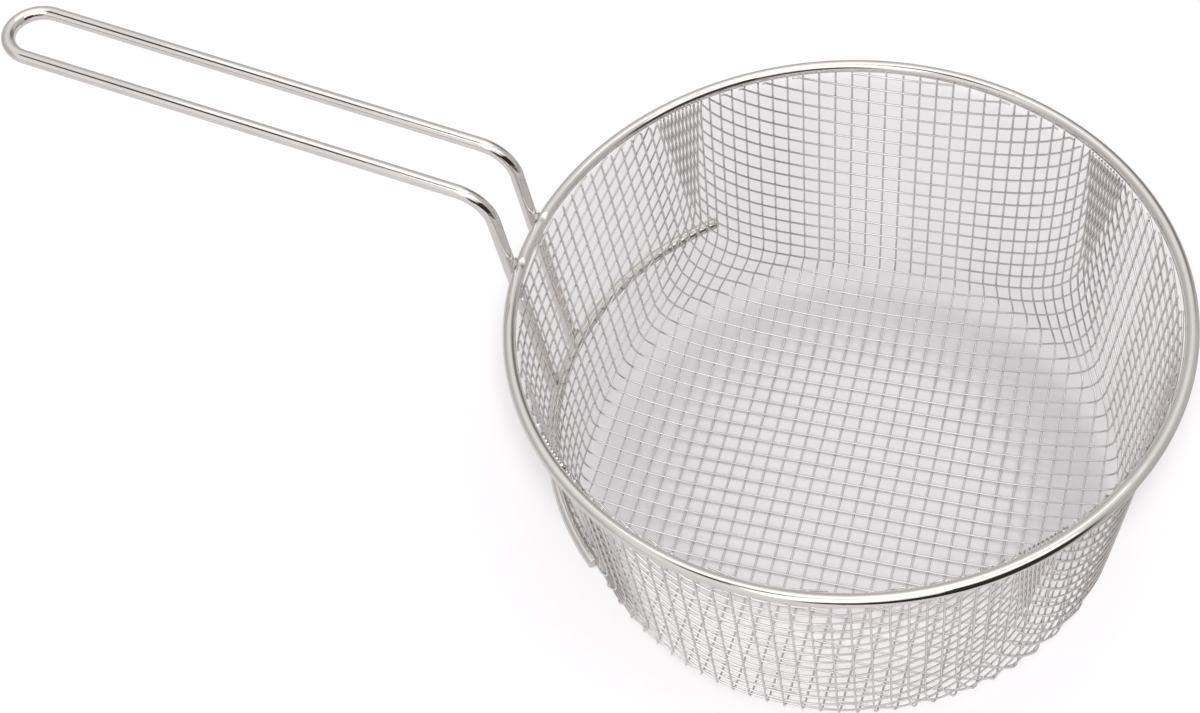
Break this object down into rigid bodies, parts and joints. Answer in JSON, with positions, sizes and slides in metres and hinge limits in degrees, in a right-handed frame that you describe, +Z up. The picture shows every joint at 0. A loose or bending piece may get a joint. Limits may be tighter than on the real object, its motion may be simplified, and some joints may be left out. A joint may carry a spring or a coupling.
{
  "type": "deep fryer basket",
  "caption": "Round wire mesh basket with a rounded floor edge, a wire hoop at the top and a long looped wire handle, for frying food in a pot of oil",
  "frame": {"origin": "Centre of the flat underside, on the axis of the bowl.", "axes": "+Z up along the axis of the bowl and the hoop. The handle points to -X and rises away from the hoop; Y runs across it."},
  "size_m": [0.4235, 0.232, 0.1806],
  "materials": {
    "mesh_wire": "bright plated steel wire, slightly dulled",
    "hoop_wire": "polished plated steel wire",
    "handle_wire": "polished plated steel wire",
    "brace_wire": "polished plated steel wire"
  },
  "bodies": {
    "root": {"mesh_bowl": "mesh_wire", "rim_ring": "hoop_wire", "handle": "handle_wire", "brace": "brace_wire"}
  },
  "joints": []
}
